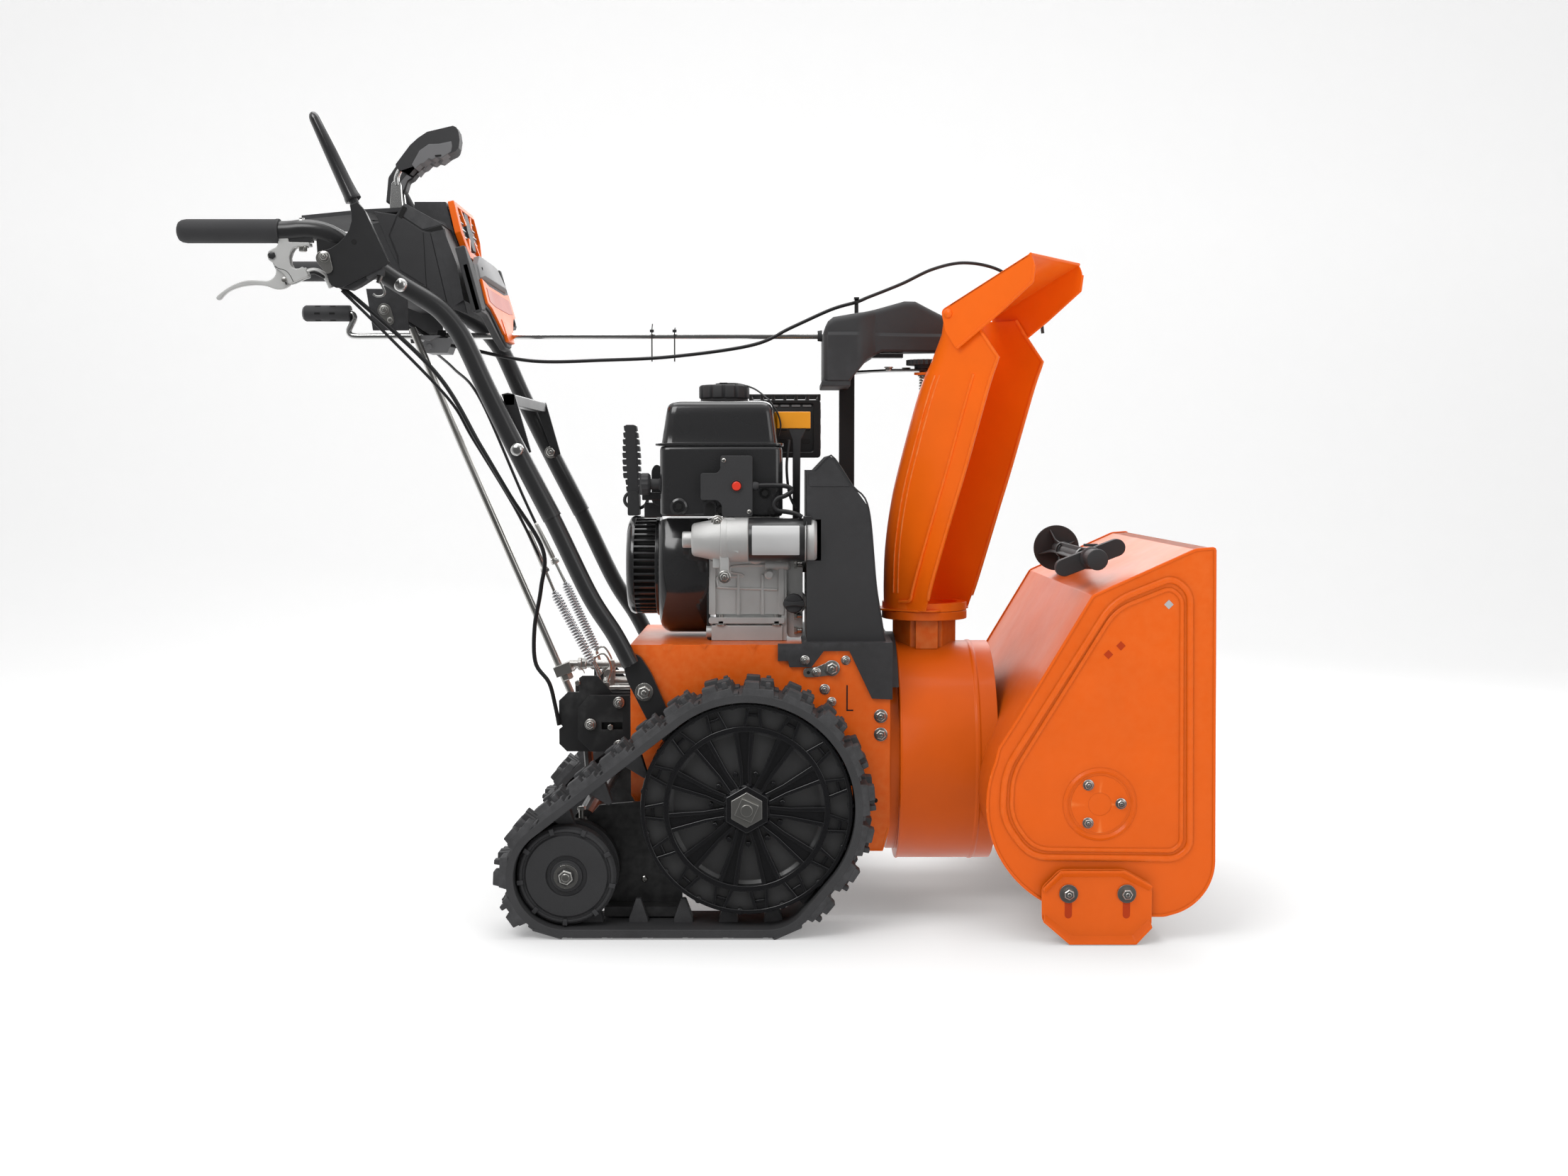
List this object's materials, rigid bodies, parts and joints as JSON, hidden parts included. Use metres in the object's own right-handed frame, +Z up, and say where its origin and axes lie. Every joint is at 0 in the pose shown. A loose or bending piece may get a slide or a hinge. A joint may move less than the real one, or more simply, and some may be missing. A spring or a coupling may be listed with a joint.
{
  "type": "two-stage snowblower",
  "caption": "Tracked walk-behind snowblower with auger housing, impeller, turning chute with tilting deflector, engine on a box frame, and handlebars with levers and console.",
  "frame": {"origin": "bottom centre of the machine's bounding box, on the ground in the mid plane, 70 mm behind the drive axle", "axes": "+X forward towards the auger housing, +Y to the operator's left, +Z up"},
  "size_m": [1.4356, 0.652, 1.1673],
  "materials": {
    "orange_paint": "glossy powder coat",
    "black_paint": "satin powder coat",
    "matte_black_plastic": "fine grained",
    "gloss_black_plastic": "polished",
    "orange_plastic": "moulded gloss",
    "red_plastic": "moulded gloss",
    "track_rubber": "dull",
    "grip_rubber": "soft matte",
    "cable_sheath": "smooth sleeve",
    "cast_aluminium": "as cast",
    "zinc_steel": "zinc plated",
    "bare_steel": "turned"
  },
  "bodies": {
    "chassis": {"tractor_frame": "orange_paint", "auger_housing": "orange_paint", "rear_bracket": "black_paint", "chute_post": "black_paint", "muffler": "black_paint", "handlebar_right": "black_paint", "handlebar_left": "black_paint", "handlebar_upper": "black_paint", "gear_cover": "matte_black_plastic", "amber_plate": "matte_black_plastic", "switch_box": "matte_black_plastic", "belt_cover": "matte_black_plastic", "console": "matte_black_plastic", "front_panel": "matte_black_plastic", "blower_shroud": "gloss_black_plastic", "recoil_cover": "gloss_black_plastic", "engine_cover": "gloss_black_plastic", "fuel_tank": "gloss_black_plastic", "headlight": "orange_plastic", "grip_right": "grip_rubber", "grip_left": "grip_rubber", "height_cable": "cable_sheath", "deflector_cable": "cable_sheath", "auger_gearcase": "cast_aluminium", "engine_block": "cast_aluminium", "starter_motor": "cast_aluminium", "shift_rod": "zinc_steel", "clutch_link_right": "bare_steel", "clutch_link_left": "bare_steel"},
    "undercarriage": {"track_frame": "black_paint", "track_right": "track_rubber", "track_left": "track_rubber"},
    "wheel_right": {"drive_wheel_right": "gloss_black_plastic", "axle_right": "zinc_steel"},
    "wheel_left": {"drive_wheel_left": "gloss_black_plastic", "axle_left": "zinc_steel"},
    "idler_wheel_right": {"idler_right": "matte_black_plastic"},
    "idler_wheel_left": {"idler_left": "matte_black_plastic"},
    "crankshaft_sheave": {"crank_sheave": "bare_steel"},
    "impeller_rotor": {"impeller": "orange_paint"},
    "auger": {"auger_shaft": "bare_steel", "auger_flight_right": "orange_paint", "auger_flight_left": "orange_paint"},
    "discharge_chute": {"chute": "orange_paint"},
    "chute_deflector": {"deflector": "orange_paint"},
    "crank_rod": {"chute_crank": "bare_steel"},
    "crank_handle": {"crank_roller": "matte_black_plastic"},
    "clutch_right": {"clutch_lever_right": "black_paint"},
    "clutch_left": {"clutch_lever_left": "black_paint"},
    "trigger": {"trigger_lever": "cast_aluminium"},
    "speed_selector": {"speed_lever": "matte_black_plastic"},
    "deflector_selector": {"deflector_lever": "matte_black_plastic"},
    "recoil_grip": {"recoil_handle": "matte_black_plastic"},
    "choke": {"choke_knob": "matte_black_plastic"},
    "tank_cap": {"fuel_cap": "matte_black_plastic"},
    "dipstick": {"oil_plug": "matte_black_plastic"},
    "starter_button": {"start_button": "red_plastic"},
    "skid_shoe_right": {"skid_right": "orange_paint"},
    "skid_shoe_left": {"skid_left": "orange_paint"},
    "clearing_tool": {"clean_out_tool": "matte_black_plastic"}
  },
  "joints": [
    {"name": "undercarriage_tilt", "type": "hinge", "parent": "chassis", "child": "undercarriage", "pos_m": [0.07025, 0, 0.1815], "axis": [0, 1, 0], "range_deg": [-3, 12]},
    {"name": "wheel_spin_right", "type": "hinge", "parent": "chassis", "child": "wheel_right", "pos_m": [0.07025, -0.245, 0.1815], "axis": [0, 1, 0], "continuous": true},
    {"name": "wheel_spin_left", "type": "hinge", "parent": "chassis", "child": "wheel_left", "pos_m": [0.07025, 0.245, 0.1815], "axis": [0, 1, 0], "continuous": true},
    {"name": "idler_spin_right", "type": "hinge", "parent": "undercarriage", "child": "idler_wheel_right", "pos_m": [-0.18275, -0.245, 0.0869], "axis": [0, 1, 0], "continuous": true},
    {"name": "idler_spin_left", "type": "hinge", "parent": "undercarriage", "child": "idler_wheel_left", "pos_m": [-0.18275, 0.245, 0.0869], "axis": [0, 1, 0], "continuous": true},
    {"name": "crankshaft_spin", "type": "hinge", "parent": "chassis", "child": "crankshaft_sheave", "pos_m": [0.20925, 0, 0.5085], "axis": [1, 0, 0], "continuous": true},
    {"name": "impeller_spin", "type": "hinge", "parent": "chassis", "child": "impeller_rotor", "pos_m": [0.35025, 0, 0.2225], "axis": [1, 0, 0], "continuous": true},
    {"name": "auger_spin", "type": "hinge", "parent": "chassis", "child": "auger", "pos_m": [0.55895, 0, 0.1935], "axis": [0, 1, 0], "continuous": true},
    {"name": "chute_turn", "type": "hinge", "parent": "chassis", "child": "discharge_chute", "pos_m": [0.33925, 0, 0.5995], "axis": [0, 0, 1], "range_deg": [-55, 125]},
    {"name": "deflector_tilt", "type": "hinge", "parent": "discharge_chute", "child": "chute_deflector", "pos_m": [0.39659, -0.04015, 0.8835], "axis": [0.5736, 0.8192, 0], "range_deg": [0, 30]},
    {"name": "crank_turn", "type": "hinge", "parent": "chassis", "child": "crank_rod", "pos_m": [-0.12975, 0.03, 0.8615], "axis": [1, 0, 0], "range_deg": [-160, 361]},
    {"name": "roller_spin", "type": "hinge", "parent": "crank_rod", "child": "crank_handle", "pos_m": [-0.58475, 0.03, 0.8962], "axis": [1, 0, 0], "continuous": true},
    {"name": "clutch_press_right", "type": "hinge", "parent": "chassis", "child": "clutch_right", "pos_m": [-0.50945, -0.263, 0.9478], "axis": [0, -1, 0], "range_deg": [0, 62]},
    {"name": "clutch_press_left", "type": "hinge", "parent": "chassis", "child": "clutch_left", "pos_m": [-0.50945, 0.263, 0.9478], "axis": [0, -1, 0], "range_deg": [0, 62]},
    {"name": "trigger_pull", "type": "hinge", "parent": "chassis", "child": "trigger", "pos_m": [-0.58705, -0.247, 0.9508], "axis": [0, 1, 0], "range_deg": [0, 22]},
    {"name": "speed_select", "type": "hinge", "parent": "chassis", "child": "speed_selector", "pos_m": [-0.45475, -0.045, 0.9495], "axis": [0, 1, 0], "range_deg": [-10, 10]},
    {"name": "deflector_select", "type": "hinge", "parent": "chassis", "child": "deflector_selector", "pos_m": [-0.45475, 0.012, 0.9495], "axis": [0, 1, 0], "range_deg": [-18, 2]},
    {"name": "recoil_pull", "type": "slide", "parent": "chassis", "child": "recoil_grip", "axis": [-0.9852, 0, -0.1716], "range_m": [0, 0.3]},
    {"name": "choke_turn", "type": "hinge", "parent": "chassis", "child": "choke", "pos_m": [-0.06975, -0.1, 0.6335], "axis": [1, 0, 0], "range_deg": [0, 90]},
    {"name": "tank_cap_lift", "type": "slide", "parent": "chassis", "child": "tank_cap", "axis": [0, 0, 1], "range_m": [0, 0.04]},
    {"name": "dipstick_draw", "type": "slide", "parent": "chassis", "child": "dipstick", "axis": [0, -1, 0], "range_m": [0, 0.05]},
    {"name": "start_press", "type": "slide", "parent": "chassis", "child": "starter_button", "axis": [0, 1, 0], "range_m": [0, 0.003]},
    {"name": "skid_adjust_right", "type": "slide", "parent": "chassis", "child": "skid_shoe_right", "axis": [0, 0, 1], "range_m": [0, 0.03]},
    {"name": "skid_adjust_left", "type": "slide", "parent": "chassis", "child": "skid_shoe_left", "axis": [0, 0, 1], "range_m": [0, 0.03]},
    {"name": "tool_lift", "type": "slide", "parent": "chassis", "child": "clearing_tool", "axis": [-0.4109, 0, 0.9117], "range_m": [0, 0.1]}
  ],
  "couplings": [
    {"joint": "idler_spin_right", "follows": "wheel_spin_right", "ratio": 2.13},
    {"joint": "idler_spin_left", "follows": "wheel_spin_left", "ratio": 2.13},
    {"joint": "auger_spin", "follows": "impeller_spin", "ratio": 0.1},
    {"joint": "crank_turn", "follows": "chute_turn", "ratio": 2.88},
    {"joint": "deflector_select", "follows": "deflector_tilt", "ratio": -0.5}
  ]
}
